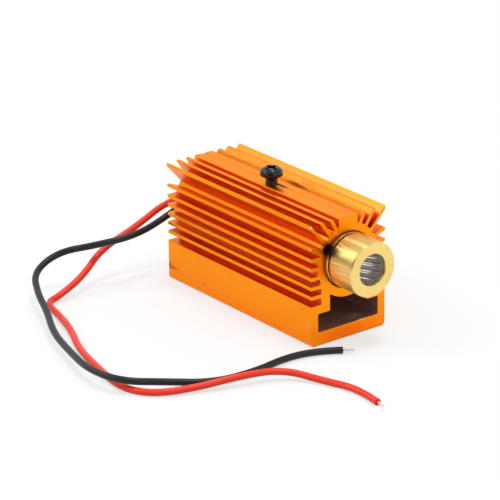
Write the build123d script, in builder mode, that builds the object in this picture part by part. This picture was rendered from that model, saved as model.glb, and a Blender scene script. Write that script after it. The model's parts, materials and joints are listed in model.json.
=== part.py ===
"""Laser line module: a brass barrel with a line lens head, clamped in a finned heatsink.

Millimetres. +Z is up, -Y is the way the beam leaves, and the origin is the middle
of the heatsink's underside.
"""

import math
import os

from build123d import *

os.makedirs("parts", exist_ok=True)

# Heatsink: one extruded section
heatsink_width = 20.0
heatsink_height = 27.15
heatsink_length = 50.0
axis_height = 17.5
tube_wall = 2.15
upper_tube_wall = 1.83
base_height = 9.1
base_corner_radius = 0.8
floor_thickness = 2.95
channel_height = 4.2
channel_side_wall = 1.9
channel_corner_radius = 0.35
neck_width = 9.8
web_thickness = 2.25
side_fin_count = 5
side_fin_pitch = 2.095
side_fin_thickness = 0.8
first_fin_gap = 1.53
fin_tip_radius = 0.22
fin_root_radius = 0.25
upper_root_radius = 0.35
boss_width = 5.0
boss_edge_radius = 0.25
boss_groove_radius = 2.0
boss_groove_depth = 0.15
bore_chamfer = 0.3
# Fins above the side fins: where each leaves the tube, which way it leans, how thick it is
upper_fins = [(26.1, 20.5, 0.78), (37.4, 48.5, 0.68), (52.9, 54.6, 0.8), (66.9, 61.6, 0.83)]

# Clearances
slip_clearance = 0.05
thread_clearance = 0.03
press_clearance = 0.02

# Clamp screw
screw_diameter = 2.5
screw_station = 0.75
screw_head_gap = 1.65
screw_head_diameter = 5.0
screw_head_height = 1.85
screw_head_edge = 0.7
screw_head_chamfer = 0.2
screw_crown_flat = 2.8
screw_crown_radius = 1.3
screw_end_chamfer = 0.3
screw_seat_depth = 0.3
recess_span = 3.0
recess_width = 0.8
recess_core = 1.6
recess_depth = 1.1
recess_taper = 12

# Brass barrel and lens head
barrel_diameter = 12.0
barrel_proud = 0.5
focus_gap = 0.6
barrel_wall = 1.0
lens_thread_diameter = 9.0
seam_chamfer = 0.12
head_length = 6.9
head_edge_chamfer = 0.25
aperture_diameter = 7.0
aperture_depth = 0.65
aperture_chamfer = 0.1
spigot_diameter = 9.5
spigot_length = 4.0
spigot_relief = 0.5

# Line lens with round ribs on its back
line_lens_diameter = 8.0
line_lens_thickness = 2.4
rib_count = 5
rib_height = 0.7
rib_angle = -21
retaining_ring_thickness = 1.5
retaining_ring_bore = 6.4
spanner_slot_width = 0.8
spanner_slot_depth = 0.6

# Collimator behind the line lens
cell_length = 5.0
cell_bore = 4.8
cell_recess_depth = 2.6
collimator_diameter = 6.0
collimator_edge = 1.2
collimator_crown = 1.0
spring_length = 3.6
spring_wire = 0.5
spring_mean_diameter = 7.2
spring_turns = 3

# Laser diode can in its holder
header_diameter = 5.6
header_thickness = 1.2
cap_diameter = 3.55
cap_height = 2.3
cap_wall = 0.2
cap_flange_diameter = 4.6
cap_flange_thickness = 0.25
cap_setback = 0.2
cap_opening = 1.6
window_diameter = 2.4
window_thickness = 0.25
post_width = 1.6
post_depth = 0.7
post_height = 1.5
chip_width = 0.3
chip_thickness = 0.12
chip_length = 0.9
holder_clear = 0.1
retainer_length = 1.8
retainer_bore = 3.8
pin_diameter = 0.45
pin_length = 6.5
pin_circle = 2.0

# Driver board
board_width = 8.4
board_length = 20.0
board_thickness = 0.5
board_gap = 2.5
board_corner_radius = 0.5
package_length = 4.9
package_width = 3.9
package_height = 1.35
package_standoff = 0.15
package_from_front = 9.6
package_lead_pitch = 1.27
package_lead_width = 0.42
package_lead_thickness = 0.2
package_lead_count = 4
package_span = 6.0
package_foot = 0.6
trimmer_side = 3.0
trimmer_height = 1.2
trimmer_rotor_diameter = 2.0
trimmer_rotor_height = 0.4
trimmer_slot_width = 0.4
trimmer_from_front = 14.4
capacitor_length = 3.2
capacitor_width = 1.6
capacitor_height = 1.5
capacitor_spacing = 5.2
capacitor_from_front = 4.0
resistor_length = 2.0
resistor_width = 1.25
resistor_height = 0.55
resistor_count = 3
resistor_pitch = 2.2
resistor_from_front = 6.2
transistor_length = 4.5
transistor_width = 2.5
transistor_height = 1.5
transistor_tab_length = 0.9
transistor_tab_width = 2.2
transistor_tab_thickness = 0.4
transistor_from_front = 11.0

# Rear plug and the two wires
plug_gap = 2.9
plug_length = 3.0
plug_flange_diameter = 11.4
plug_flange_thickness = 1.0
wire_diameter = 1.5
wire_spacing = 3.8
core_diameter = 0.5
tail_length = 4.8
bare_length = 2.3
bend_share = 0.45

# Sizes and stations worked out from the driving dimensions
barrel_radius = barrel_diameter / 2
bore_radius = barrel_radius + slip_clearance
tube_radius = bore_radius + tube_wall
upper_tube_radius = bore_radius + upper_tube_wall
barrel_inner_radius = barrel_radius - barrel_wall
thread_radius = lens_thread_diameter / 2
spigot_radius = spigot_diameter / 2
lens_pocket_radius = line_lens_diameter / 2 + slip_clearance
pin_radius = pin_diameter / 2
core_radius = core_diameter / 2
wire_radius = wire_diameter / 2

front_face = -heatsink_length / 2
barrel_front = front_face - barrel_proud
head_back = barrel_front - focus_gap
head_front = head_back - head_length
lens_seat = head_front + aperture_depth
lens_back = lens_seat + line_lens_thickness
ring_back = lens_back + retaining_ring_thickness
spigot_back = head_back + spigot_length
cell_front = spigot_back + spigot_relief
cell_back = cell_front + cell_length
holder_front = cell_back + spring_length
header_front = holder_front + cap_setback + cap_height
header_back = header_front + header_thickness
holder_back = header_back + retainer_length
board_front = holder_back + board_gap
plug_front = board_front + board_length + plug_gap
barrel_back = plug_front + plug_length
plug_back = barrel_back + plug_flange_thickness
screw_tip = axis_height + barrel_radius - screw_seat_depth
screw_neck = heatsink_height + screw_head_gap
board_top = axis_height - pin_radius
wire_height = board_top + core_radius

beam_axis = Axis((0, 0, axis_height), (0, 1, 0))
# Half sections of turned pieces are drawn as (station along Y, radius)
axial = Plane(origin=(0, 0, axis_height), x_dir=(0, 1, 0), z_dir=(1, 0, 0))


def across(station):
    """The plane square to the beam axis at a station along Y, seen from the front."""
    return Plane(origin=(0, station, axis_height), x_dir=(1, 0, 0), z_dir=(0, -1, 0))


near = 0.01
corner_share = 0.45
web_face = neck_width / 2 + web_thickness
channel_top = floor_thickness + channel_height
top_side_fin = base_height + first_fin_gap + (side_fin_count - 1) * side_fin_pitch + side_fin_thickness


def is_fin_tip(corner):
    at_side = abs(corner.X) > heatsink_width / 2 - near and corner.Y > base_height + near
    at_top = corner.Y > heatsink_height - near and abs(corner.X) > boss_width / 2 + near
    return at_side or at_top


def is_on_tube(corner):
    surface = upper_tube_radius if corner.Y > axis_height else tube_radius
    return abs(math.hypot(corner.X, corner.Y - axis_height) - surface) < near


def is_fin_root(corner):
    on_web = abs(abs(corner.X) - web_face) < near and corner.Y > base_height - near
    on_tube = is_on_tube(corner) and abs(corner.X) > web_face
    return corner.Y < top_side_fin - near and (on_web or on_tube)


def is_upper_root(corner):
    return is_on_tube(corner) and corner.Y > top_side_fin - near


def is_boss_edge(corner):
    return corner.Y > heatsink_height - near and abs(abs(corner.X) - boss_width / 2) < near


def is_channel_corner(corner):
    at_wall = abs(abs(corner.X) - heatsink_width / 2 + channel_side_wall) < near
    at_ledge = abs(abs(corner.X) - neck_width / 2) < near and abs(corner.Y - channel_top) < near
    return at_wall and floor_thickness - near < corner.Y < channel_top + near or at_ledge


def is_bore_mouth(edge):
    return abs(edge.radius - bore_radius) < near


def ends_at(edge, place):
    return min((edge @ 0 - place).length, (edge @ 1 - place).length) < near


def round_corners(sketch, is_corner, radius):
    """Fillet the chosen corners of a sketch, each limited by the shorter edge that meets there."""
    places_by_radius = {}
    for corner in sketch.vertices().filter_by(is_corner):
        place = Vector(corner)
        room = min(edge.length for edge in sketch.edges() if ends_at(edge, place))
        limit = round(min(radius, corner_share * room), 3)
        places_by_radius.setdefault(limit, []).append(place)
    for limit, places in places_by_radius.items():
        fillet([corner for corner in sketch.vertices() if Vector(corner) in places], limit)


# Heatsink section: base with its channel, tube for the barrel, fins and clamp boss
with BuildPart() as heatsink:
    with BuildSketch(Plane.XZ) as section:
        with Locations((0, base_height / 2)):
            Rectangle(heatsink_width, base_height)
        fillet(section.vertices().group_by(Axis.Y)[0], base_corner_radius)
        with Locations((0, (floor_thickness + axis_height) / 2)):
            Rectangle(neck_width + 2 * web_thickness, axis_height - floor_thickness)
        with Locations((0, floor_thickness + channel_height / 2)):
            Rectangle(
                heatsink_width - 2 * channel_side_wall,
                channel_height,
                mode=Mode.SUBTRACT,
            )
        with Locations((0, (floor_thickness + axis_height) / 2)):
            Rectangle(neck_width, axis_height - floor_thickness, mode=Mode.SUBTRACT)
        with Locations((0, axis_height)):
            Circle(tube_radius)
            Rectangle(
                heatsink_width,
                heatsink_height - axis_height,
                align=(Align.CENTER, Align.MIN),
                mode=Mode.SUBTRACT,
            )
            Circle(upper_tube_radius)
        fin_length = heatsink_width / 2 - bore_radius
        lowest_fin = base_height + first_fin_gap + side_fin_thickness / 2
        root_radius = bore_radius + upper_tube_wall / 2
        for side in (1, -1):
            for index in range(side_fin_count):
                with Locations((side * heatsink_width / 2, lowest_fin + index * side_fin_pitch)):
                    Rectangle(
                        fin_length,
                        side_fin_thickness,
                        align=(Align.MAX if side > 0 else Align.MIN, Align.CENTER),
                    )
            for root_angle, lean, thickness in upper_fins:
                root_x = root_radius * math.cos(math.radians(root_angle))
                root_z = axis_height + root_radius * math.sin(math.radians(root_angle))
                turn = lean if side > 0 else 180 - lean
                with Locations(Location((side * root_x, root_z), turn)):
                    Rectangle(
                        heatsink_height,
                        thickness,
                        align=(Align.MIN, Align.CENTER),
                    )
        with Locations((0, heatsink_height)):
            Rectangle(
                boss_width,
                heatsink_height - axis_height,
                align=(Align.CENTER, Align.MAX),
            )
        with Locations((0, heatsink_height / 2)):
            Rectangle(heatsink_width, heatsink_height, mode=Mode.INTERSECT)
        with Locations((0, heatsink_height + boss_groove_radius - boss_groove_depth)):
            Circle(boss_groove_radius, mode=Mode.SUBTRACT)
        round_corners(section, is_fin_tip, fin_tip_radius)
        round_corners(section, is_fin_root, fin_root_radius)
        round_corners(section, is_upper_root, upper_root_radius)
        round_corners(section, is_boss_edge, boss_edge_radius)
        round_corners(section, is_channel_corner, channel_corner_radius)
        with Locations((0, axis_height)):
            Circle(bore_radius, mode=Mode.SUBTRACT)
    extrude(amount=heatsink_length / 2, both=True)
    bore_mouths = heatsink.edges().filter_by(GeomType.CIRCLE).filter_by(is_bore_mouth)
    chamfer(bore_mouths, bore_chamfer)
    with BuildSketch(Plane.XY.offset(heatsink_height)):
        with Locations((0, screw_station)):
            Circle(screw_diameter / 2 + thread_clearance)
    extrude(amount=axis_height - heatsink_height, mode=Mode.SUBTRACT)
heatsink.part.label = "heatsink"
export_step(heatsink.part, "parts/heatsink.step")

# Clamp screw: pan head with a cross recess, its end seated in the barrel
with BuildPart() as clamp_screw:
    with BuildSketch(Plane.XZ.offset(-screw_station)):
        with BuildLine():
            shank_radius = screw_diameter / 2
            head_radius = screw_head_diameter / 2
            edge_height = screw_neck + screw_head_edge
            head_top = screw_neck + screw_head_height
            crown = Line((0, head_top), (screw_crown_flat / 2, head_top))
            RadiusArc(crown @ 1, (head_radius, edge_height), screw_crown_radius)
            Polyline(
                (head_radius, edge_height),
                (head_radius, screw_neck + screw_head_chamfer),
                (head_radius - screw_head_chamfer, screw_neck),
                (shank_radius, screw_neck),
                (shank_radius, screw_tip + screw_end_chamfer),
                (shank_radius - screw_end_chamfer, screw_tip),
                (0, screw_tip),
                crown @ 0,
            )
        make_face()
    revolve(axis=Axis((0, screw_station, 0), (0, 0, 1)))
    with BuildSketch(Plane.XY.offset(head_top)):
        with Locations((0, screw_station)):
            Rectangle(recess_span, recess_width)
            Rectangle(recess_width, recess_span)
            Circle(recess_core / 2)
    extrude(amount=-recess_depth, taper=recess_taper, mode=Mode.SUBTRACT)
clamp_screw.part.label = "clamp_screw"
export_step(clamp_screw.part, "parts/clamp_screw.step")

# Barrel: counterbore for the head, thread for the collimator, plain bore behind
with BuildPart() as barrel:
    with BuildSketch(axial):
        with BuildLine():
            Polyline(
                (barrel_front, spigot_radius),
                (barrel_front, barrel_radius - seam_chamfer),
                (barrel_front + seam_chamfer, barrel_radius),
                (barrel_back, barrel_radius),
                (barrel_back, barrel_inner_radius),
                (holder_front, barrel_inner_radius),
                (holder_front, thread_radius),
                (cell_front, thread_radius),
                (cell_front, spigot_radius),
                close=True,
            )
        make_face()
    revolve(axis=beam_axis)
    with BuildSketch(Plane.XY.offset(screw_tip)):
        with Locations((0, screw_station)):
            Circle(screw_diameter / 2 + thread_clearance)
    extrude(amount=screw_seat_depth, mode=Mode.SUBTRACT)
barrel.part.label = "barrel"
export_step(barrel.part, "parts/barrel.step")

# Lens head: the cap that carries the line lens; it screws into the barrel up to its focus
with BuildPart() as lens_head:
    with BuildSketch(axial):
        with BuildLine():
            Polyline(
                (head_front, aperture_diameter / 2 + aperture_chamfer),
                (head_front, barrel_radius - head_edge_chamfer),
                (head_front + head_edge_chamfer, barrel_radius),
                (head_back - seam_chamfer, barrel_radius),
                (head_back, barrel_radius - seam_chamfer),
                (head_back, spigot_radius - thread_clearance),
                (spigot_back, spigot_radius - thread_clearance),
                (spigot_back, lens_pocket_radius),
                (lens_seat, lens_pocket_radius),
                (lens_seat, aperture_diameter / 2),
                (head_front + aperture_chamfer, aperture_diameter / 2),
                close=True,
            )
        make_face()
    revolve(axis=beam_axis)
lens_head.part.label = "lens_head"
export_step(lens_head.part, "parts/lens_head.step")

# Line lens: a disc whose back face is a row of round ribs
rib_pitch = line_lens_diameter / rib_count
rib_floor = lens_back - rib_height
rib_profile_plane = Plane(
    origin=(0, 0, axis_height),
    x_dir=(-math.sin(math.radians(rib_angle)), 0, math.cos(math.radians(rib_angle))),
    z_dir=(-math.cos(math.radians(rib_angle)), 0, -math.sin(math.radians(rib_angle))),
)
with BuildPart() as line_lens:
    with BuildSketch(rib_profile_plane):
        with BuildLine():
            for index in range(rib_count):
                rib_start = -line_lens_diameter / 2 + index * rib_pitch
                SagittaArc((rib_start, rib_floor), (rib_start + rib_pitch, rib_floor), rib_height)
            Polyline(
                (line_lens_diameter / 2, rib_floor),
                (line_lens_diameter / 2, lens_seat),
                (-line_lens_diameter / 2, lens_seat),
                (-line_lens_diameter / 2, rib_floor),
            )
        make_face()
    extrude(amount=line_lens_diameter / 2, both=True)
    with BuildSketch(across(lens_back)):
        Circle(line_lens_diameter / 2)
    extrude(amount=line_lens_thickness, mode=Mode.INTERSECT)
line_lens.part.label = "line_lens"
export_step(line_lens.part, "parts/line_lens.step")

# Ring that holds the line lens against its seat, with spanner slots
with BuildPart() as lens_retaining_ring:
    with BuildSketch(across(lens_back)):
        Circle(line_lens_diameter / 2)
        Circle(retaining_ring_bore / 2, mode=Mode.SUBTRACT)
    extrude(amount=-retaining_ring_thickness)
    with BuildSketch(across(ring_back)):
        Rectangle(line_lens_diameter, spanner_slot_width)
    extrude(amount=spanner_slot_depth, mode=Mode.SUBTRACT)
lens_retaining_ring.part.label = "lens_retaining_ring"
export_step(lens_retaining_ring.part, "parts/lens_retaining_ring.step")

# Collimator cell: a threaded holder, set from the front with a spanner
with BuildPart() as collimator_cell:
    with BuildSketch(across(cell_front)):
        Circle(thread_radius - thread_clearance)
    extrude(amount=-cell_length)
    with BuildSketch(across(cell_front)):
        Circle(collimator_diameter / 2 + press_clearance)
    extrude(amount=-cell_recess_depth, mode=Mode.SUBTRACT)
    with BuildSketch(across(cell_front)):
        Circle(cell_bore / 2)
    extrude(amount=-cell_length, mode=Mode.SUBTRACT)
    with BuildSketch(across(cell_front)):
        Rectangle(lens_thread_diameter, spanner_slot_width)
    extrude(amount=-spanner_slot_depth, mode=Mode.SUBTRACT)
collimator_cell.part.label = "collimator_cell"
export_step(collimator_cell.part, "parts/collimator_cell.step")

# Collimating lens: flat behind, crowned in front
collimator_back = cell_front + cell_recess_depth
with BuildPart() as collimating_lens:
    with BuildSketch(axial):
        with BuildLine():
            lens_edge = collimator_back - collimator_edge
            lens_tip = lens_edge - collimator_crown
            crown_radius = (collimator_diameter**2 / 4 + collimator_crown**2) / (2 * collimator_crown)
            Polyline(
                (lens_tip, 0),
                (collimator_back, 0),
                (collimator_back, collimator_diameter / 2),
                (lens_edge, collimator_diameter / 2),
            )
            RadiusArc((lens_edge, collimator_diameter / 2), (lens_tip, 0), -crown_radius)
        make_face()
    revolve(axis=beam_axis)
collimating_lens.part.label = "collimating_lens"
export_step(collimating_lens.part, "parts/collimating_lens.step")

# Flat-wire spring that takes the play out of the cell's thread
spring_rise = spring_length - spring_wire - 2 * press_clearance
spring_foot = Vector(0, cell_back + spring_wire / 2 + press_clearance, axis_height)
with BuildPart() as focus_spring:
    with BuildLine() as coil:
        Helix(
            spring_rise / spring_turns,
            spring_rise,
            spring_mean_diameter / 2,
            center=spring_foot,
            direction=(0, 1, 0),
        )
    outward = coil.line @ 0 - spring_foot
    with BuildSketch(Plane(origin=coil.line @ 0, x_dir=outward, z_dir=coil.line % 0)):
        Rectangle(spring_wire, spring_wire)
    sweep(is_frenet=True)
focus_spring.part.label = "focus_spring"
export_step(focus_spring.part, "parts/focus_spring.step")

# Diode holder: pressed into the barrel against its shoulder
with BuildPart() as diode_holder:
    with BuildSketch(axial):
        with BuildLine():
            cap_hole_radius = cap_flange_diameter / 2 + holder_clear
            seat_radius = header_diameter / 2 + press_clearance
            Polyline(
                (holder_front, cap_hole_radius),
                (holder_front, barrel_inner_radius - press_clearance),
                (holder_back, barrel_inner_radius - press_clearance),
                (holder_back, seat_radius),
                (header_front, seat_radius),
                (header_front, cap_hole_radius),
                close=True,
            )
        make_face()
    revolve(axis=beam_axis)
diode_holder.part.label = "diode_holder"
export_step(diode_holder.part, "parts/diode_holder.step")

# Diode header: the base disc with the post that carries the chip
with BuildPart() as diode_header:
    with BuildSketch(across(header_back)):
        Circle(header_diameter / 2)
    extrude(amount=header_thickness)
    with BuildSketch(across(header_front)):
        Rectangle(post_width, post_depth, align=(Align.CENTER, Align.MAX))
    extrude(amount=post_height)
diode_header.part.label = "diode_header"
export_step(diode_header.part, "parts/diode_header.step")

# Laser chip: on the flat of the post, level with the beam axis
with BuildPart() as laser_chip:
    with BuildSketch(across(header_front - post_height)):
        Rectangle(chip_width, chip_thickness, align=(Align.CENTER, Align.MIN))
    extrude(amount=-chip_length)
laser_chip.part.label = "laser_chip"
export_step(laser_chip.part, "parts/laser_chip.step")

# Diode cap: a thin cup with a flange, open at the window
cap_front = header_front - cap_height
with BuildPart() as diode_cap:
    with BuildSketch(axial):
        with BuildLine():
            Polyline(
                (cap_front, cap_opening / 2),
                (cap_front, cap_diameter / 2),
                (header_front - cap_flange_thickness, cap_diameter / 2),
                (header_front - cap_flange_thickness, cap_flange_diameter / 2),
                (header_front, cap_flange_diameter / 2),
                (header_front, cap_diameter / 2 - cap_wall),
                (cap_front + cap_wall, cap_diameter / 2 - cap_wall),
                (cap_front + cap_wall, cap_opening / 2),
                close=True,
            )
        make_face()
    revolve(axis=beam_axis)
diode_cap.part.label = "diode_cap"
export_step(diode_cap.part, "parts/diode_cap.step")

# Window: a glass disc sealed inside the cap
with BuildPart() as diode_window:
    with BuildSketch(across(cap_front + cap_wall)):
        Circle(window_diameter / 2)
    extrude(amount=-window_thickness)
diode_window.part.label = "diode_window"
export_step(diode_window.part, "parts/diode_window.step")

# Ring that presses the header against its seat
with BuildPart() as diode_retainer:
    with BuildSketch(across(header_back)):
        Circle(header_diameter / 2)
        Circle(retainer_bore / 2, mode=Mode.SUBTRACT)
    extrude(amount=-retainer_length)
diode_retainer.part.label = "diode_retainer"
export_step(diode_retainer.part, "parts/diode_retainer.step")

# Diode pins: two lie on the board, the case pin passes under it
with BuildPart() as diode_pins:
    with BuildSketch(across(header_back)):
        with Locations((-pin_circle / 2, 0), (pin_circle / 2, 0), (0, -pin_circle / 2)):
            Circle(pin_radius)
    extrude(amount=-pin_length)
diode_pins.part.label = "diode_pins"
export_step(diode_pins.part, "parts/diode_pins.step")

# Driver board
board_plane = Plane.XY.offset(board_top)
with BuildPart() as driver_board:
    with BuildSketch(board_plane):
        with Locations((0, board_front + board_length / 2)):
            RectangleRounded(board_width, board_length, board_corner_radius)
    extrude(amount=-board_thickness)
driver_board.part.label = "driver_board"
export_step(driver_board.part, "parts/driver_board.step")

# Driver chip: moulded package with gull-wing leads
package_y = board_front + package_from_front
lead_row = (package_lead_count - 1) * package_lead_pitch
with BuildPart() as driver_chip:
    with BuildSketch(board_plane.offset(package_standoff)):
        with Locations((0, package_y)):
            Rectangle(package_width, package_length)
    extrude(amount=package_height)
    lead_planes = [
        Plane.XZ.offset(-(package_y - lead_row / 2 + index * package_lead_pitch))
        for index in range(package_lead_count)
    ]
    with BuildSketch(*lead_planes):
        with BuildLine():
            lead_top = board_top + package_standoff + package_height / 2
            knee = package_span / 2 - package_foot
            Polyline(
                (package_width / 2, lead_top),
                (knee + package_lead_thickness, lead_top),
                (knee + package_lead_thickness, board_top + package_lead_thickness),
                (package_span / 2, board_top + package_lead_thickness),
                (package_span / 2, board_top),
                (knee, board_top),
                (knee, lead_top - package_lead_thickness),
                (package_width / 2, lead_top - package_lead_thickness),
                close=True,
            )
        make_face()
        mirror(about=Plane.YZ)
    extrude(amount=package_lead_width / 2, both=True)
driver_chip.part.label = "driver_chip"
export_step(driver_chip.part, "parts/driver_chip.step")

# Trimmer that sets the diode current
trimmer_y = board_front + trimmer_from_front
with BuildPart() as current_trimmer:
    with BuildSketch(board_plane):
        with Locations((0, trimmer_y)):
            Rectangle(trimmer_side, trimmer_side)
    extrude(amount=trimmer_height)
    with BuildSketch(board_plane.offset(trimmer_height)):
        with Locations((0, trimmer_y)):
            Circle(trimmer_rotor_diameter / 2)
            Rectangle(trimmer_rotor_diameter, trimmer_slot_width, mode=Mode.SUBTRACT)
    extrude(amount=trimmer_rotor_height)
current_trimmer.part.label = "current_trimmer"
export_step(current_trimmer.part, "parts/current_trimmer.step")

# Filter capacitors, one each side of the diode pins
with BuildPart() as filter_capacitors:
    with BuildSketch(board_plane):
        with Locations((0, board_front + capacitor_from_front)):
            with GridLocations(capacitor_spacing, 0, 2, 1):
                Rectangle(capacitor_width, capacitor_length)
    extrude(amount=capacitor_height)
filter_capacitors.part.label = "filter_capacitors"
export_step(filter_capacitors.part, "parts/filter_capacitors.step")

# Sense resistors under the board
board_underside = board_plane.offset(-board_thickness)
with BuildPart() as sense_resistors:
    with BuildSketch(board_underside):
        with Locations((0, board_front + resistor_from_front)):
            with GridLocations(resistor_pitch, 0, resistor_count, 1):
                Rectangle(resistor_width, resistor_length)
    extrude(amount=-resistor_height)
sense_resistors.part.label = "sense_resistors"
export_step(sense_resistors.part, "parts/sense_resistors.step")

# Pass transistor under the board, with its cooling tab
with BuildPart() as pass_transistor:
    with BuildSketch(board_underside):
        with Locations((0, board_front + transistor_from_front)):
            Rectangle(transistor_length, transistor_width)
    extrude(amount=-transistor_height)
    with BuildSketch(board_underside):
        with Locations((0, board_front + transistor_from_front + transistor_width / 2)):
            Rectangle(
                transistor_tab_width,
                transistor_tab_length,
                align=(Align.CENTER, Align.MIN),
            )
    extrude(amount=-transistor_tab_thickness)
pass_transistor.part.label = "pass_transistor"
export_step(pass_transistor.part, "parts/pass_transistor.step")

# Rear plug: closes the barrel and guides the two wires
wire_rise = wire_height - axis_height
with BuildPart() as rear_plug:
    with BuildSketch(across(plug_front)):
        Circle(barrel_inner_radius - press_clearance)
    extrude(amount=-plug_length)
    with BuildSketch(across(barrel_back)):
        Circle(plug_flange_diameter / 2)
    extrude(amount=-plug_flange_thickness)
    with BuildSketch(across(plug_front)):
        with Locations((-wire_spacing / 2, wire_rise), (wire_spacing / 2, wire_rise)):
            Circle(wire_radius + slip_clearance)
    extrude(amount=-(plug_length + plug_flange_thickness), mode=Mode.SUBTRACT)
rear_plug.part.label = "rear_plug"
export_step(rear_plug.part, "parts/rear_plug.step")

# Tinned tails of the wires, soldered on the board
with BuildPart() as wire_tails:
    with BuildSketch(across(plug_front)):
        with Locations((-wire_spacing / 2, wire_rise), (wire_spacing / 2, wire_rise)):
            Circle(core_radius)
    extrude(amount=tail_length)
wire_tails.part.label = "wire_tails"
export_step(wire_tails.part, "parts/wire_tails.step")

# Routes of the wires: out of the plug, down behind the heatsink, round to the front
red_route = [
    (wire_spacing / 2, plug_front, wire_height),
    (wire_spacing / 2, plug_back + 4.7, wire_height),
    (-4.5, 33, 14.5),
    (-13, 33, 10.5),
    (-22, 34, 7),
    (-29.5, 30, 4),
    (-36, 29.5, 1.2),
    (-40.5, 28.5, 0.8),
    (-42, 21, 0.8),
    (-44.5, 13, 0.8),
    (-49, 3.5, 0.8),
    (-51.5, -7, 0.8),
    (-53.5, -18, 0.8),
    (-50, -24.5, 0.8),
    (-41.5, -28, 1.1),
    (-33.5, -30.5, 2.1),
    (-24, -33, 1.9),
    (-19.5, -41, 0.8),
    (-16.5, -48.5, 0.8),
    (-17.7, -55.7, 0.8),
]
black_route = [
    (-wire_spacing / 2, plug_front, wire_height),
    (-wire_spacing / 2, plug_back + 4.2, wire_height),
    (-6, 30.5, 12.2),
    (-16.5, 28, 10.8),
    (-25.5, 31, 9.8),
    (-31, 37.5, 7.6),
    (-38.5, 36, 5.2),
    (-42.5, 28.5, 3.7),
    (-45.5, 20.5, 2.8),
    (-50, 11.5, 2.1),
    (-53, 1, 2.2),
    (-56, -10, 2.9),
    (-54.5, -19.5, 3.1),
    (-45.5, -22.5, 1.5),
    (-37.5, -27.5, 0.8),
    (-27.5, -28.5, 0.8),
    (-18, -27, 0.8),
    (-11, -28.5, 0.8),
    (-6.7, -31.4, 0.8),
]


def bend_radii(route):
    """The largest tangent arc that the two runs at each corner of a route leave room for."""
    points = [Vector(*point) for point in route]
    radii = []
    for before, corner, after in zip(points, points[1:], points[2:]):
        turn = math.radians((corner - before).get_angle(after - corner))
        shorter = min((corner - before).length, (after - corner).length)
        radii.append(bend_share * shorter / math.tan(turn / 2))
    return radii


# Red wire, with its bare end
with BuildPart() as red_wire:
    with BuildLine() as red_path:
        FilletPolyline(*red_route, radius=bend_radii(red_route))
    with BuildSketch(Plane(origin=red_path.line @ 0, z_dir=red_path.line % 0)):
        Circle(wire_radius)
    sweep()
red_wire.part.label = "red_wire"
export_step(red_wire.part, "parts/red_wire.step")

with BuildPart() as red_wire_tip:
    with BuildSketch(Plane(origin=red_path.line @ 1, z_dir=red_path.line % 1)):
        Circle(core_radius)
    extrude(amount=bare_length)
red_wire_tip.part.label = "red_wire_tip"
export_step(red_wire_tip.part, "parts/red_wire_tip.step")

# Black wire, with its bare end
with BuildPart() as black_wire:
    with BuildLine() as black_path:
        FilletPolyline(*black_route, radius=bend_radii(black_route))
    with BuildSketch(Plane(origin=black_path.line @ 0, z_dir=black_path.line % 0)):
        Circle(wire_radius)
    sweep()
black_wire.part.label = "black_wire"
export_step(black_wire.part, "parts/black_wire.step")

with BuildPart() as black_wire_tip:
    with BuildSketch(Plane(origin=black_path.line @ 1, z_dir=black_path.line % 1)):
        Circle(core_radius)
    extrude(amount=bare_length)
black_wire_tip.part.label = "black_wire_tip"
export_step(black_wire_tip.part, "parts/black_wire_tip.step")

for name, path, wire, route in (
    ("red", red_path, red_wire, red_route),
    ("black", black_path, black_wire, black_route),
):
    length = sum(edge.length for edge in path.edges())
    share = wire.part.volume / (math.pi * wire_radius**2 * length)
    print(name, "wire length", round(length, 1), "volume over section times length", round(share, 4))
    print(name, "radii", [round(radius, 1) for radius in bend_radii(route)])
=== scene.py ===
"""Looks of the laser diode module: finishes, wires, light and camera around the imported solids."""

import json
import math

import bmesh
import bpy
from mathutils import Matrix, Vector


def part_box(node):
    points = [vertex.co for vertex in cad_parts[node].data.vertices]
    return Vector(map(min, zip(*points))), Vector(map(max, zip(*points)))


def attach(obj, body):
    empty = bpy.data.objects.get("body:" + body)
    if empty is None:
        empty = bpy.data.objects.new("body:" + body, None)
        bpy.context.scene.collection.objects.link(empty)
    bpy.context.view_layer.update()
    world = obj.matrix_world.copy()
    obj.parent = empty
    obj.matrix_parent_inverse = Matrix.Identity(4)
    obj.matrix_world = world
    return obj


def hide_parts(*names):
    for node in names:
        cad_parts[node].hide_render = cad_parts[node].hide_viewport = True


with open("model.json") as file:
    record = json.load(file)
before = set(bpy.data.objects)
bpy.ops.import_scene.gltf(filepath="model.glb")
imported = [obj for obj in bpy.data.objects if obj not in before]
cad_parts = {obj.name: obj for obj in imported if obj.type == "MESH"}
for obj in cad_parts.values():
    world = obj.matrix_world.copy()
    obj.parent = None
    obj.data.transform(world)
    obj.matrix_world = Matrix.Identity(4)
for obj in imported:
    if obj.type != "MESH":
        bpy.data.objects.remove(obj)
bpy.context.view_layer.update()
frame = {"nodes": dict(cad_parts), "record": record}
nodes = frame["nodes"]

MM = 0.001


def box_mm(node):
    """The lowest and highest corners of a node in millimetres."""
    low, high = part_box(node)
    return low / MM, high / MM


block_low, block_high = box_mm("heatsink")
barrel_low, barrel_high = box_mm("barrel")
head_low = box_mm("lens_head")[0]
lens_low, lens_high = box_mm("line_lens")
screw_low, screw_high = box_mm("clamp_screw")
plug_high = box_mm("rear_plug")[1]
axis_height = (barrel_low.z + barrel_high.z) / 2

# Camera: where it stands around the module, in degrees and metres
camera_azimuth = -37.484
camera_elevation = 21.646
camera_roll = -0.645
camera_distance = 0.622832
camera_aim = Vector((0, 0, 0.013))
camera_pan = (0.005221, 0.001087)
focal_pixels = 2892.514
image_pixels = 500
sensor_width = 36

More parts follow.
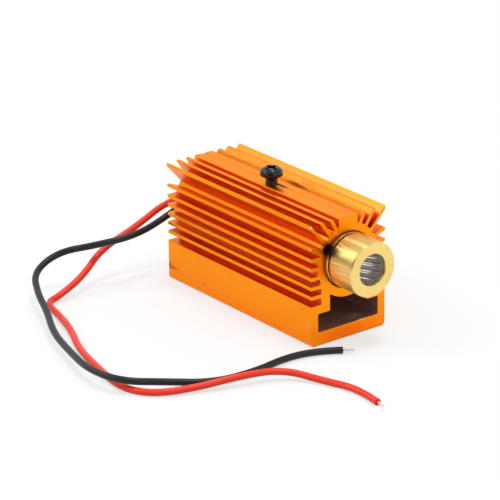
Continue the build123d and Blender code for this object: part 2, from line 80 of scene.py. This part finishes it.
# Wires: insulation, strands and routes, in millimetres
wire_diameter = 1.5
wire_spacing = 3.8
wire_height = 17.525
tail_length = 4.0
strand_count = 6
strand_diameter = 0.17
strand_turns = 0.8
bare_length = 2.3
strand_steps = 12
strand_fineness = 3
wire_fineness = 6
route_fineness = 10
red_route = [
    (wire_spacing / 2, plug_high.y - tail_length, wire_height),
    (wire_spacing / 2, plug_high.y + 4.7, wire_height),
    (-4.5, 33, 14.5),
    (-13, 33, 10.5),
    (-22, 34, 7),
    (-29.5, 30, 4),
    (-36, 29.5, 1.2),
    (-40.5, 28.5, 0.8),
    (-42, 21, 0.8),
    (-44.5, 13, 0.8),
    (-49, 3.5, 0.8),
    (-51.5, -7, 0.8),
    (-53.5, -18, 0.8),
    (-50, -24.5, 0.8),
    (-41.5, -28, 1.1),
    (-33.5, -30.5, 2.1),
    (-24, -33, 1.9),
    (-19.5, -41, 0.8),
    (-16.5, -48.5, 0.8),
    (-17.7, -55.7, 0.8),
]
black_route = [
    (-wire_spacing / 2, plug_high.y - tail_length, wire_height),
    (-wire_spacing / 2, plug_high.y + 4.2, wire_height),
    (-6, 30.5, 12.2),
    (-16.5, 28, 10.8),
    (-25.5, 31, 9.8),
    (-31, 37.5, 7.6),
    (-38.5, 36, 5.2),
    (-42.5, 28.5, 3.7),
    (-45.5, 20.5, 2.8),
    (-50, 11.5, 2.1),
    (-53, 1, 2.2),
    (-56, -10, 2.9),
    (-54.5, -19.5, 3.1),
    (-45.5, -22.5, 1.5),
    (-37.5, -27.5, 0.8),
    (-27.5, -28.5, 0.8),
    (-18, -27, 0.8),
    (-11, -28.5, 0.8),
    (-6.7, -31.4, 0.8),
]

# Screw and its thread, in millimetres
shank_radius = 1.25
thread_pitch = 0.45
thread_height = 0.09
thread_root = 0.02
thread_steps = 32
screw_head_height = 1.85

# Length of the lens head outside the barrel, in millimetres
lens_head_length = 6.9

# Marks, in millimetres: middle of each mark and its half sizes
# Bare metal worn at corners and edges, in part painted glints
bare_spots_and_glints = [
    ((-9.95, -24.9, 22.0), (0.25, 0.3, 0.16)),
    ((-9.9, -24.9, 26.85), (0.35, 0.28, 0.26)),
    ((3.8, -25.0, 2.95), (1.3, 0.25, 0.12)),
]
scuffs = [
    ((-10, -24.4, 5.3), (0.2, 0.45, 0.3)),
    ((-10, -23.9, 4.8), (0.2, 0.35, 0.22)),
]
brown_smudges = [
    ((-10, 25.0, 3.2), (0.6, 1.7, 1.1)),
    ((-10, 24.0, 3.0), (0.6, 3.4, 0.5)),
]
grey_smudge = ((3.4, -22.5, 2.95), (2.6, 2.2, 0.3))
dark_pits = [
    ((-10, 12.2, 2.6), (0.3, 0.2, 0.34)),
    ((-10, 3.2, 2.5), (0.3, 0.22, 0.18)),
]
# Dark patch round the seam at the upper left of the barrel: partly stains, partly painted shade and
# reflection
face_stain_and_shade = ((-5.6, -25, 21.0), (1.5, 1.4, 1.8))
seam_stain_and_shade = ((-5.0, -25.6, 20.8), (1.6, 1.2, 2.0))
tube_stain_and_shade = ((-4.9, -26.4, 20.9), (1.3, 2.2, 1.4))
# Painted shade and reflection: a deeper tone on the front lip, where the block mirrors the shaded floor
lip_shade_spot = ((0, -25, 1.2), (12, 1.5, 2.4))
mark_grain = 2.2
mark_reach = 1.1

# Where the heatsink's tone and its painted shade change, in millimetres
low_shade_height = 8.5
# Painted contact shadow along the bottom edge of the block, fading out between these heights
base_contact_shade_heights = (0.1, 0.35)
slot_floor = 9.05
slot_depths = (0.2, 1.3)
end_margin = 0.05
tube_surface = 7.95
tube_margin = 0.15
# Inside these boxes the channel is rougher, and its colour is painted shade that turns darker towards the
# right
channel_boxes = [
    ((-8.2, -24.95, 2.9), (8.2, 24.95, 7.2)),
    ((-5.0, -24.95, 2.9), (5.0, 24.95, 10.2)),
]
channel_shade_turn = (-4, 4)

# Where the tone of brass and lens and the painted shade in the gap change, in millimetres; heights are from
# the beam axis
nose_skin = 0.1
seam_slack = 0.02
gap_depth = 0.13
# Painted shade on the barrel's ring in the gap: darker towards its top and towards its bottom, between
# these heights
upper_gap_shade = (1, 4)
lower_gap_shade = (-4.5, -2.5)
hollow_slack = 0.1
ground_width = 0.06

# Tones of the heatsink, and how strongly each covers what lies under it
block_tones = {
    "plain": (0.99, 0.285, 0.004, 1),
    "light": (1.0, 0.325, 0.006, 1),
    # deep: painted shade and reflection low on the base and on the front lip
    "deep": (0.97, 0.13, 0.002, 1),
    # slot: painted shade between the fins
    "slot": (0.83, 0.25, 0.1, 1),
    # tube: painted shade on the tube between the fins
    "tube": (0.74, 0.175, 0.01, 1),
    # channel_left and channel_right: painted shade inside the channel, darker on the right side
    "channel_left": (0.78, 0.53, 0.48, 1),
    "channel_right": (0.64, 0.45, 0.42, 1),
    # Painted contact shadow along the bottom edge
    "base_contact_shade": (0.4, 0.14, 0.02, 1),
    # Dark patch by the barrel: partly stains, partly painted shade and reflection
    "stain_and_shade": (0.05, 0.018, 0.008, 1),
    "smudge": (0.2, 0.06, 0.02, 1),
    "worn": (1.0, 0.85, 0.7, 1),
    "scuff": (0.95, 0.5, 0.35, 1),
    "pit": (0.4, 0.06, 0.01, 1),
    # bare: worn bare metal, in part painted glints
    "bare": (1.0, 0.78, 0.38, 1),
}
block_covers = {
    # low, lip, tube and the bottom edge's tone cover with painted shade, the dark patch by the barrel with
    # stains and painted shade
    "low": 0.35,
    "lip": 0.75,
    "tube": 0.35,
    "base_contact_shade": 0.7,
    "stain_and_shade": 0.95,
    "smudge": 0.6,
    "worn": 0.6,
    "scuff": 0.22,
    "pit": 0.75,
    "bare": 0.9,
}

# Tones of brass, wires and lens, and how strongly each covers what lies under it
brass_tones = {
    "plain": (0.95, 0.67, 0.2, 1),
    "light": (0.99, 0.74, 0.27, 1),
    "streak": (0.5, 0.34, 0.07, 1),
    # barrel, the two tones after it, and gap: painted shade in the gap round the barrel
    "barrel": (0.8, 0.55, 0.18, 1),
    "upper_gap_shade": (0.2, 0.1, 0.03, 1),
    "lower_gap_shade": (0.08, 0.03, 0.01, 1),
    # Dark patch at the seam: partly stains, partly painted shade and reflection
    "stain_and_shade": (0.05, 0.027, 0.018, 1),
    "gap": (0.5, 0.33, 0.1, 1),
    "hollow": (0.52, 0.45, 0.37, 1),
}
brass_covers = {"streak": 0.4, "upper_gap_shade": 0.4, "lower_gap_shade": 0.85, "stain_and_shade": 0.95}
red_tones = ((0.92, 0.04, 0.018, 1), (1.0, 0.055, 0.026, 1))
black_tones = ((0.011, 0.0125, 0.0125, 1), (0.019, 0.021, 0.0205, 1))
clear_glass = (0.98, 0.96, 0.92, 1)
frosted_glass = (0.92, 0.82, 0.7, 1)
rib_transmission = 0.6

# Grain: the ranges of the noise that count, and its stretch along X, Y and Z
grain_span = (0.3, 0.7)
line_span = (0.35, 0.7)
cloud_span = (0.35, 0.65)
film_span = (0.35, 0.7)
streak_span = (0.48, 0.64)
smear_span = (0.42, 0.52)
line_stretch = (1, 0.02, 1)
streak_stretch = (1, 0.04, 1)
smear_stretch = (1, 0.15, 1)
line_share = 0.5
cloud_share = 0.5

# Roughness: its range over the grain, its spread as factors, and on dull places
block_rough = (0.26, 0.36)
channel_rough = 0.5
smudge_rough = 0.55
brass_rough = (0.26, 0.38)
hollow_rough = 0.6
screw_rough = (0.1, 0.2)
film_rough = (0.0, 0.03)
frosted_rough = 0.5
insulation_rough = (0.3, 0.42)
metal_spread = (0.8, 1.25)
moulded_spread = (0.85, 1.15)

# Floor and light: sizes in metres, powers in watts, angles in degrees; the cards are dark parts of the
# surroundings that the brass mirrors
floor_size = 6.0
floor_colour = (0.36, 0.36, 0.36, 1)
floor_glow = 0.6
world_strength = 0.82
dark_from = (0.62, 0.9)
dark_strength = 0.6
dark_cards = [
    {"towards": (-0.745, -0.658, 0.109), "angle": 24, "soft": 10, "strength": 0.1},
    {"towards": (-0.65, 0.74, 0.17), "angle": 6, "soft": 6, "strength": 0.1},
]
softboxes = {
    "top_softbox": {"place": (0.1, -0.05, 0.95), "size": 0.22, "power": 2.4},
    "rear_softbox": {"place": (-0.4, 0.36, 0.5), "size": 0.3, "power": 0.9},
}


# Node helpers

def new_material(name, sockets):
    """A material with a Principled shader and constants on its sockets."""
    made = bpy.data.materials.new(name)
    made.use_nodes = True
    shader = made.node_tree.nodes["Principled BSDF"]
    for socket, value in sockets.items():
        shader.inputs[socket].default_value = value
    return made, made.node_tree, shader


def add_node(tree, kind, inputs=None, **settings):
    """A node with its settings; an input is a constant or another node's output."""
    node = tree.nodes.new(kind)
    for setting, value in settings.items():
        setattr(node, setting, value)
    for socket, value in (inputs or {}).items():
        if isinstance(value, bpy.types.NodeSocket):
            tree.links.new(value, node.inputs[socket])
        else:
            node.inputs[socket].default_value = value
    return node


def place(tree, scale=(1, 1, 1)):
    """Coordinates of the surface in millimetres, stretched by scale."""
    source = add_node(tree, "ShaderNodeTexCoord")
    factors = [factor / MM for factor in scale]
    return add_node(tree, "ShaderNodeMapping", {0: source.outputs["Object"], "Scale": factors}).outputs[0]


def noise(tree, vector, scale, detail=3.0, roughness=0.55):
    """A cloudy value about one half; scale is in cycles per millimetre."""
    inputs = {"Vector": vector, "Scale": scale, "Detail": detail, "Roughness": roughness}
    return add_node(tree, "ShaderNodeTexNoise", inputs).outputs[0]


def remap(tree, value, low, high, to_low=0.0, to_high=1.0):
    """A value's range from low to high, stretched to another range and held at its ends."""
    inputs = {0: value, 1: low, 2: high, 3: to_low, 4: to_high}
    return add_node(tree, "ShaderNodeMapRange", inputs).outputs[0]


def maths(tree, operation, first, second=0.0):
    """One operation on numbers."""
    return add_node(tree, "ShaderNodeMath", {0: first, 1: second}, operation=operation).outputs[0]


def vector_maths(tree, operation, first, second=(0, 0, 0)):
    """One operation on vectors."""
    return add_node(tree, "ShaderNodeVectorMath", {0: first, 1: second}, operation=operation).outputs[0]


def mix_colour(tree, share, first, second):
    """From the first colour to the second as share goes from nothing to one."""
    inputs = {0: share, 6: first, 7: second}
    return add_node(tree, "ShaderNodeMix", inputs, data_type="RGBA").outputs[2]


def mix_value(tree, share, first, second):
    """From the first number to the second as share goes from nothing to one."""
    return add_node(tree, "ShaderNodeMix", {0: share, 2: first, 3: second}, data_type="FLOAT").outputs[0]


def add_bump(tree, shader, height, strength, distance):
    """Fine relief on a shader; distance is in metres."""
    inputs = {"Height": height, "Strength": strength, "Distance": distance}
    bump = add_node(tree, "ShaderNodeBump", inputs)
    tree.links.new(bump.outputs[0], shader.inputs["Normal"])


def product(tree, first, second):
    """One output times another, or times a number."""
    return maths(tree, "MULTIPLY", first, second)


def cover(tree, mask, strength, under, tone):
    """A tone laid over another where a mask says so, at a given strength."""
    return mix_colour(tree, product(tree, mask, strength), under, tone)


def highest(tree, values):
    """The largest of several outputs."""
    top = values[0]
    for value in values[1:]:
        top = maths(tree, "MAXIMUM", top, value)
    return top


def coordinates(tree):
    """Outputs X, Y and Z: where the surface is, in millimetres."""
    return add_node(tree, "ShaderNodeSeparateXYZ", {0: place(tree)}).outputs


def spot(tree, middle, half, ragged=0.5, soft=0.35):
    """One inside a round patch and nothing outside it, with a ragged edge; soft is the edge's width."""
    offset = vector_maths(tree, "DIVIDE", vector_maths(tree, "SUBTRACT", place(tree), middle), half)
    reach = add_node(tree, "ShaderNodeVectorMath", {0: offset}, operation="LENGTH").outputs["Value"]
    edge = product(tree, noise(tree, place(tree), mark_grain), ragged)
    outer = mark_reach + ragged / 2
    return remap(tree, maths(tree, "ADD", reach, edge), outer - soft, outer, 1.0, 0.0)


def inside(tree, low, high):
    """One inside a box and nothing outside it."""
    middle = [(a + b) / 2 for a, b in zip(low, high)]
    half = [(b - a) / 2 for a, b in zip(low, high)]
    offset = vector_maths(tree, "DIVIDE", vector_maths(tree, "SUBTRACT", place(tree), middle), half)
    parts = add_node(tree, "ShaderNodeSeparateXYZ", {0: vector_maths(tree, "ABSOLUTE", offset)})
    return maths(tree, "LESS_THAN", highest(tree, list(parts.outputs)), 1.0)


def turned_place(tree):
    """Coordinates that follow a lathe: distance from the beam axis, and the station along it."""
    at = coordinates(tree)
    above = maths(tree, "SUBTRACT", at["Z"], axis_height)
    flat = add_node(tree, "ShaderNodeCombineXYZ", {0: at["X"], 1: above}).outputs[0]
    radius = add_node(tree, "ShaderNodeVectorMath", {0: flat}, operation="LENGTH").outputs["Value"]
    return radius, at["Y"]


def between_ends(tree):
    """One in the part of the heatsink above its base, without its end faces."""
    low = (block_low.x, block_low.y + end_margin, slot_floor)
    high = (block_high.x, block_high.y - end_margin, block_high.z)
    return inside(tree, low, high)


def slot_depth(tree):
    """How deep a point lies between the fins: nothing on the outside, one at the bottom of a slot."""
    at = coordinates(tree)
    from_side = maths(tree, "SUBTRACT", block_high.x, maths(tree, "ABSOLUTE", at["X"]))
    from_top = maths(tree, "SUBTRACT", block_high.z, at["Z"])
    depth = remap(tree, maths(tree, "MINIMUM", from_side, from_top), *slot_depths)
    off_tube = maths(tree, "GREATER_THAN", turned_place(tree)[0], tube_surface)
    return product(tree, depth, product(tree, between_ends(tree), off_tube))


def tube_between_fins(tree):
    """One on the tube's own surface where it shows between the fins."""
    off_surface = maths(tree, "SUBTRACT", turned_place(tree)[0], tube_surface)
    near = maths(tree, "LESS_THAN", maths(tree, "ABSOLUTE", off_surface), tube_margin)
    return product(tree, between_ends(tree), near)


# Finishes

def orange_anodised():
    """Satin dyed anodising: drawn lines along Y, dull inside the channel, with the marks of use, and
    painted shade low on the base, on the front lip, between the fins, in the channel and along the bottom
    edge; the dark patch by the barrel is partly stains, partly painted shade, and the bare corners are
    partly painted glints.
    """
    sockets = {
        "Metallic": 1.0,
        "Coat Weight": 0.06,
        "Coat Roughness": 0.2,
        "Specular Tint": (1, 0.8, 0.65, 1),
    }
    made, tree, shader = new_material("orange_anodised", sockets)
    at = coordinates(tree)
    tones = block_tones
    covers = block_covers

    drawn = noise(tree, place(tree, line_stretch), scale=4.0)
    cloud = noise(tree, place(tree), scale=0.16, detail=4.0)
    from_lines = remap(tree, drawn, *line_span, 0.0, line_share)
    from_cloud = remap(tree, cloud, *cloud_span, 0.0, cloud_share)
    share = maths(tree, "ADD", from_lines, from_cloud)
    colour = mix_colour(tree, share, tones["plain"], tones["light"])
    rough = remap(tree, drawn, *grain_span, *block_rough)

    # Painted shade and reflection: a deeper tone towards the bottom of the block and on its front lip
    low_shade_share = product(tree, remap(tree, at["Z"], 0.0, low_shade_height, 1.0, 0.0), covers["low"])
    lip = product(tree, spot(tree, *lip_shade_spot, ragged=0.2, soft=0.8), covers["lip"])
    colour = mix_colour(tree, highest(tree, [low_shade_share, lip]), colour, tones["deep"])
    # Painted shade: darker towards the bottom of the slots between the fins
    colour = mix_colour(tree, slot_depth(tree), colour, tones["slot"])
    # Painted shade on the tube's surface where it shows between the fins
    colour = cover(tree, tube_between_fins(tree), covers["tube"], colour, tones["tube"])

    # Rougher inside the channel, and there painted shade that turns darker from left to right
    dull = highest(tree, [inside(tree, *box) for box in channel_boxes])
    turn = remap(tree, at["X"], *channel_shade_turn)
    channel_shade = mix_colour(tree, turn, tones["channel_left"], tones["channel_right"])
    colour = mix_colour(tree, dull, colour, channel_shade)
    rough = mix_value(tree, dull, rough, channel_rough)

    # Painted contact shadow along the bottom edge of the block
    base_contact_shade = remap(tree, at["Z"], *base_contact_shade_heights, covers["base_contact_shade"], 0.0)
    colour = mix_colour(tree, base_contact_shade, colour, tones["base_contact_shade"])
    # Dark patch on the face by the barrel: partly stains, partly painted shade and reflection
    stain_and_shade = spot(tree, *face_stain_and_shade, ragged=0.9, soft=0.5)
    colour = cover(tree, stain_and_shade, covers["stain_and_shade"], colour, tones["stain_and_shade"])
    smudge = highest(tree, [spot(tree, *mark, soft=0.9) for mark in brown_smudges])
    smudge = product(tree, smudge, covers["smudge"])
    colour = mix_colour(tree, smudge, colour, tones["smudge"])
    rough = mix_value(tree, smudge, rough, smudge_rough)
    worn = spot(tree, *grey_smudge, soft=0.9)
    colour = cover(tree, worn, covers["worn"], colour, tones["worn"])
    # Scuffs, pits, and bare metal that is in part painted glints
    for mark_tone, marks in (("scuff", scuffs), ("pit", dark_pits), ("bare", bare_spots_and_glints)):
        mask = highest(tree, [spot(tree, *mark) for mark in marks])
        colour = cover(tree, mask, covers[mark_tone], colour, tones[mark_tone])

    tree.links.new(colour, shader.inputs["Base Color"])
    tree.links.new(rough, shader.inputs["Roughness"])
    add_bump(tree, shader, drawn, strength=0.08, distance=0.02 * MM)
    return made


def turned_brass():
    """Bright brass with the fine rings that a lathe leaves, stained and with painted shade and reflection
    at the seam, painted shade on the barrel's ring and the spigot in the gap, dull inside the head.
    """
    sockets = {"Metallic": 1.0, "Anisotropic": 0.9, "Anisotropic Rotation": 0.25}
    made, tree, shader = new_material("turned_brass", sockets)
    radius, station = turned_place(tree)
    height = coordinates(tree)["Z"]
    tones = brass_tones
    covers = brass_covers

    rings = add_node(tree, "ShaderNodeCombineXYZ", {0: radius, 1: station}).outputs[0]
    turned = noise(tree, rings, scale=9.0, detail=2.0)
    cloud = noise(tree, place(tree), scale=0.5)
    colour = mix_colour(tree, cloud, tones["plain"], tones["light"])

    outside = maths(tree, "GREATER_THAN", radius, barrel_high.x - nose_skin)
    streaks = noise(tree, place(tree, streak_stretch), scale=1.3)
    streaks = remap(tree, streaks, *streak_span, 0.0, covers["streak"])
    colour = mix_colour(tree, product(tree, streaks, outside), colour, tones["streak"])

    # Painted shade on the barrel's ring where it shows in the gap: a darker tone, more so towards its top
    # and its bottom
    barrel_own = maths(tree, "GREATER_THAN", station, barrel_low.y - seam_slack)
    colour = mix_colour(tree, barrel_own, colour, tones["barrel"])
    low, high = (axis_height + above for above in upper_gap_shade)
    ring_shade = remap(tree, height, low, high, 0.0, covers["upper_gap_shade"])
    colour = mix_colour(tree, product(tree, barrel_own, ring_shade), colour, tones["upper_gap_shade"])
    low, high = (axis_height + above for above in lower_gap_shade)
    ring_shade = remap(tree, height, low, high, covers["lower_gap_shade"], 0.0)
    colour = mix_colour(tree, product(tree, barrel_own, ring_shade), colour, tones["lower_gap_shade"])

    # Dark patch at the seam and smeared along the nose: partly stains, partly painted shade and reflection
    smear = remap(tree, noise(tree, place(tree, smear_stretch), scale=2.2), *smear_span)
    smear = product(tree, spot(tree, *tube_stain_and_shade, soft=0.7), smear)
    stain_and_shade = highest(tree, [smear, spot(tree, *seam_stain_and_shade, soft=0.6)])
    colour = cover(tree, stain_and_shade, covers["stain_and_shade"], colour, tones["stain_and_shade"])

    # Painted shade on the spigot seen in the gap behind the head
    spigot = maths(tree, "LESS_THAN", radius, barrel_high.x - gap_depth)
    behind_head = maths(tree, "GREATER_THAN", station, head_low.y + lens_head_length - seam_slack)
    colour = mix_colour(tree, product(tree, spigot, behind_head), colour, tones["gap"])
    within = maths(tree, "LESS_THAN", radius, lens_high.x + hollow_slack)
    behind_lens = maths(tree, "GREATER_THAN", station, lens_low.y + hollow_slack)
    hollow = product(tree, within, behind_lens)
    colour = mix_colour(tree, hollow, colour, tones["hollow"])

    rough = remap(tree, turned, *grain_span, *brass_rough)
    tree.links.new(colour, shader.inputs["Base Color"])
    tree.links.new(mix_value(tree, hollow, rough, hollow_rough), shader.inputs["Roughness"])
    around = add_node(tree, "ShaderNodeTangent", direction_type="RADIAL", axis="Y")
    tree.links.new(around.outputs[0], shader.inputs["Tangent"])
    add_bump(tree, shader, turned, strength=0.12, distance=0.02 * MM)
    return made


def black_steel():
    """Gloss black oxide on the screw."""
    sockets = {"Base Color": (0.006, 0.006, 0.007, 1), "Specular IOR Level": 0.45}
    made, tree, shader = new_material("black_steel", sockets)
    grain = noise(tree, place(tree), scale=3.0)
    tree.links.new(remap(tree, grain, *grain_span, *screw_rough), shader.inputs["Roughness"])
    add_bump(tree, shader, grain, strength=0.1, distance=0.02 * MM)
    return made


def lens_glass():
    """Clear glass with a ground rim and frosted crowns on the line lens's ribs."""
    made, tree, shader = new_material("lens_glass", {"IOR": 1.52})
    radius, station = turned_place(tree)
    film = remap(tree, noise(tree, place(tree), scale=1.5), *film_span, *film_rough)
    ground = maths(tree, "GREATER_THAN", radius, lens_high.x - ground_width)
    crown = maths(tree, "GREATER_THAN", station, lens_high.y - ground_width)
    crown = product(tree, crown, maths(tree, "LESS_THAN", station, lens_high.y + ground_width))
    frosted = highest(tree, [ground, crown])
    tree.links.new(mix_value(tree, frosted, film, frosted_rough), shader.inputs["Roughness"])
    clear = mix_value(tree, crown, 1.0, rib_transmission)
    tree.links.new(mix_value(tree, ground, clear, 0.0), shader.inputs["Transmission Weight"])
    colour = mix_colour(tree, frosted, clear_glass, frosted_glass)
    tree.links.new(colour, shader.inputs["Base Color"])
    return made


def plain_metal(name, low, high, rough):
    """A metal with a little grain; low and high are the ends of its colour, rough its roughness."""
    made, tree, shader = new_material(name, {"Metallic": 1.0})
    grain = noise(tree, place(tree), scale=3.0)
    rough_range = [rough * factor for factor in metal_spread]
    tree.links.new(mix_colour(tree, grain, low, high), shader.inputs["Base Color"])
    tree.links.new(remap(tree, grain, *grain_span, *rough_range), shader.inputs["Roughness"])
    add_bump(tree, shader, grain, strength=0.08, distance=0.01 * MM)
    return made


def moulded(name, low, high, rough):
    """A moulded or fired body with a fine grain; its arguments are those of plain_metal."""
    made, tree, shader = new_material(name, {})
    grain = noise(tree, place(tree), scale=4.0, detail=5.0)
    rough_range = [rough * factor for factor in moulded_spread]
    tree.links.new(mix_colour(tree, grain, low, high), shader.inputs["Base Color"])
    tree.links.new(remap(tree, grain, *grain_span, *rough_range), shader.inputs["Roughness"])
    add_bump(tree, shader, grain, strength=0.15, distance=0.02 * MM)
    return made


def insulation(name, low, high):
    """Extruded wire insulation: satin, with slight waves in its skin."""
    made, tree, shader = new_material(name, {"Specular IOR Level": 0.32})
    waves = noise(tree, place(tree), scale=0.8)
    ripples = noise(tree, place(tree), scale=2.5, detail=2.0)
    tree.links.new(mix_colour(tree, waves, low, high), shader.inputs["Base Color"])
    tree.links.new(remap(tree, waves, *grain_span, *insulation_rough), shader.inputs["Roughness"])
    add_bump(tree, shader, ripples, strength=0.12, distance=0.03 * MM)
    return made


finishes = {
    "orange_anodised": orange_anodised(),
    "black_steel": black_steel(),
    "turned_brass": turned_brass(),
    "lens_glass": lens_glass(),
    "spring_steel": plain_metal("spring_steel", (0.55, 0.56, 0.58, 1), (0.68, 0.69, 0.7, 1), 0.25),
    "gold_plate": plain_metal("gold_plate", (0.95, 0.68, 0.26, 1), (1.0, 0.76, 0.36, 1), 0.22),
    "chip": plain_metal("chip", (0.2, 0.21, 0.24, 1), (0.32, 0.33, 0.36, 1), 0.15),
    "circuit_board": moulded("circuit_board", (0.012, 0.11, 0.035, 1), (0.02, 0.16, 0.05, 1), 0.35),
    "black_epoxy": moulded("black_epoxy", (0.012, 0.012, 0.013, 1), (0.025, 0.025, 0.027, 1), 0.55),
    "trimmer_body": moulded("trimmer_body", (0.6, 0.56, 0.45, 1), (0.72, 0.68, 0.56, 1), 0.5),
    "capacitor_body": moulded("capacitor_body", (0.36, 0.22, 0.1, 1), (0.5, 0.32, 0.16, 1), 0.45),
    "tinned_copper": plain_metal("tinned_copper", (0.72, 0.71, 0.7, 1), (0.9, 0.89, 0.88, 1), 0.22),
    "red_insulation": insulation("red_insulation", *red_tones),
    "black_insulation": insulation("black_insulation", *black_tones),
}


def finish(piece, slot):
    """Give a piece the finish of one of the record's material slots."""
    piece.data.materials.clear()
    piece.data.materials.append(finishes[slot])


for entry in frame["record"]["subparts"]:
    finish(nodes[entry["node"]], entry["material_slot"])


def link(name, data):
    """A new object in the scene."""
    piece = bpy.data.objects.new(name, data)
    bpy.context.scene.collection.objects.link(piece)
    return piece


# Screw thread

def make_thread():
    """A helical ridge on the bare shank between the boss and the screw's head."""
    middle = (screw_low + screw_high) / 2
    low = block_high.z - thread_pitch
    high = screw_high.z - screw_head_height + thread_pitch / 4
    turns = (high - low) / thread_pitch
    steps = int(turns * thread_steps)
    # Each corner: how far out from the shank, and how far along in pitches
    outline = [(-thread_root, 0.5), (-thread_root, -0.5), (thread_height, -0.1), (thread_height, 0.1)]
    grid = bmesh.new()
    rows = []
    for step in range(steps + 1):
        angle = 2 * math.pi * step / thread_steps
        rise = low + thread_pitch * step / thread_steps
        row = []
        for out, along in outline:
            reach = shank_radius + out
            across = middle + Vector((reach * math.cos(angle), reach * math.sin(angle), 0))
            point = Vector((across.x, across.y, rise + along * thread_pitch))
            row.append(grid.verts.new(point * MM))
        rows.append(row)
    for first, second in zip(rows, rows[1:]):
        for corner in range(len(outline)):
            after = (corner + 1) % len(outline)
            grid.faces.new((first[corner], first[after], second[after], second[corner]))
    grid.faces.new(reversed(rows[0]))
    grid.faces.new(rows[-1])
    bmesh.ops.recalc_face_normals(grid, faces=grid.faces)
    data = bpy.data.meshes.new("screw_thread")
    grid.to_mesh(data)
    grid.free()
    piece = link("screw_thread", data)
    finish(piece, "black_steel")
    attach(piece, "root")


make_thread()


# Wires

def make_strands(name, start, direction, slot, node):
    """The bare end of a wire: one straight strand and the others laid round it."""
    axis = direction.normalized()
    side = axis.cross(Vector((0, 0, 1))).normalized()
    up = side.cross(axis)
    data = bpy.data.curves.new(name, "CURVE")
    data.dimensions = "3D"
    data.bevel_depth = strand_diameter / 2 * MM
    data.bevel_resolution = strand_fineness
    data.use_fill_caps = True
    for strand in range(strand_count + 1):
        spline = data.splines.new("POLY")
        spline.points.add(strand_steps - 1)
        for step in range(strand_steps):
            share = step / (strand_steps - 1)
            angle = 2 * math.pi * (strand / strand_count + strand_turns * share)
            reach = 0.0 if strand == strand_count else strand_diameter * MM
            spot_on_axis = start + axis * (share * bare_length * MM)
            around = (side * math.cos(angle) + up * math.sin(angle)) * reach
            spline.points[step].co = (*(spot_on_axis + around), 1)
    piece = link(name, data)
    finish(piece, slot)
    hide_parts(node)
    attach(piece, "root")
    return piece


def make_wire(name, route, slot, node, tip_node):
    """A wire as one smooth curve through its route, with its bare end."""
    points = [Vector(point) * MM for point in route]
    data = bpy.data.curves.new(name, "CURVE")
    data.dimensions = "3D"
    spline = data.splines.new("NURBS")
    spline.points.add(len(points) - 1)
    for control, point in zip(spline.points, points):
        control.co = (*point, 1)
    spline.order_u = 3
    spline.use_endpoint_u = True
    spline.resolution_u = route_fineness
    data.bevel_depth = wire_diameter / 2 * MM
    data.bevel_resolution = wire_fineness
    data.use_fill_caps = True
    piece = link(name, data)
    finish(piece, slot)
    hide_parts(node)
    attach(piece, "root")
    direction = points[-1] - points[-2]
    strands = make_strands(name + "_strands", points[-1], direction, "tinned_copper", tip_node)


make_wire("red_lead", red_route, "red_insulation", "red_wire", "red_wire_tip")
make_wire("black_lead", black_route, "black_insulation", "black_wire", "black_wire_tip")


# Floor, light and camera

def seen_directly(tree):
    """One for what the camera sees, also in a mirror or through glass, and nothing for other light."""
    rays = add_node(tree, "ShaderNodeLightPath")
    return highest(tree, [rays.outputs[f"Is {kind} Ray"] for kind in ("Camera", "Glossy", "Transmission")])


def make_floor():
    """A white floor that keeps the shadow; it glows a little, but lights nothing."""
    grid = bmesh.new()
    bmesh.ops.create_grid(grid, x_segments=1, y_segments=1, size=floor_size / 2)
    data = bpy.data.meshes.new("floor")
    grid.to_mesh(data)
    grid.free()
    floor = link("floor", data)
    sockets = {
        "Base Color": floor_colour,
        "Roughness": 0.9,
        "Specular IOR Level": 0.1,
        "Emission Color": (1, 1, 1, 1),
    }
    made, tree, shader = new_material("floor", sockets)
    glow = product(tree, seen_directly(tree), floor_glow)
    tree.links.new(glow, shader.inputs["Emission Strength"])
    floor.data.materials.append(made)


def make_light():
    """A white surround, darker overhead and at the cards, and two softboxes: overhead and rear left."""
    world = bpy.data.worlds.new("studio")
    bpy.context.scene.world = world
    world.use_nodes = True
    tree = world.node_tree
    background = tree.nodes["Background"]
    background.inputs[0].default_value = (1, 1, 1, 1)
    direction = add_node(tree, "ShaderNodeTexCoord").outputs[0]
    height = add_node(tree, "ShaderNodeSeparateXYZ", {0: direction}).outputs[2]
    shown = remap(tree, height, *dark_from, 1.0, dark_strength)
    for card in dark_cards:
        inputs = {0: direction, 1: Vector(card["towards"]).normalized()}
        closeness = add_node(tree, "ShaderNodeVectorMath", inputs, operation="DOT_PRODUCT").outputs["Value"]
        outer = math.cos(math.radians(card["angle"] + card["soft"]))
        inner = math.cos(math.radians(card["angle"]))
        shown = mix_value(tree, remap(tree, closeness, outer, inner), shown, card["strength"])
    tree.links.new(mix_value(tree, seen_directly(tree), world_strength, shown), background.inputs[1])
    for name, values in softboxes.items():
        lamp = bpy.data.lights.new(name, "AREA")
        lamp.size = values["size"]
        lamp.energy = values["power"]
        softbox = link(name, lamp)
        softbox.location = values["place"]
        softbox.rotation_euler = Vector(values["place"]).to_track_quat("Z", "Y").to_euler()


def make_camera():
    """The camera at the photograph's viewing angle."""
    azimuth, elevation, roll = (math.radians(a) for a in (camera_azimuth, camera_elevation, camera_roll))
    back = Vector((
        math.sin(azimuth) * math.cos(elevation),
        -math.cos(azimuth) * math.cos(elevation),
        math.sin(elevation),
    ))
    level = Vector((math.cos(azimuth), math.sin(azimuth), 0))
    rise = back.cross(level)
    right = math.cos(roll) * level + math.sin(roll) * rise
    up = math.cos(roll) * rise - math.sin(roll) * level
    eye = camera_aim + back * camera_distance - right * camera_pan[0] - up * camera_pan[1]
    data = bpy.data.cameras.new("camera")
    data.sensor_width = sensor_width
    data.lens = focal_pixels / image_pixels * sensor_width
    data.clip_start = 0.01
    camera = link("camera", data)
    turn = Matrix((right, up, back)).transposed().to_4x4()
    camera.matrix_world = Matrix.Translation(eye) @ turn
    bpy.context.scene.camera = camera


make_floor()
make_light()
make_camera()
bpy.context.scene.view_settings.view_transform = "Standard"
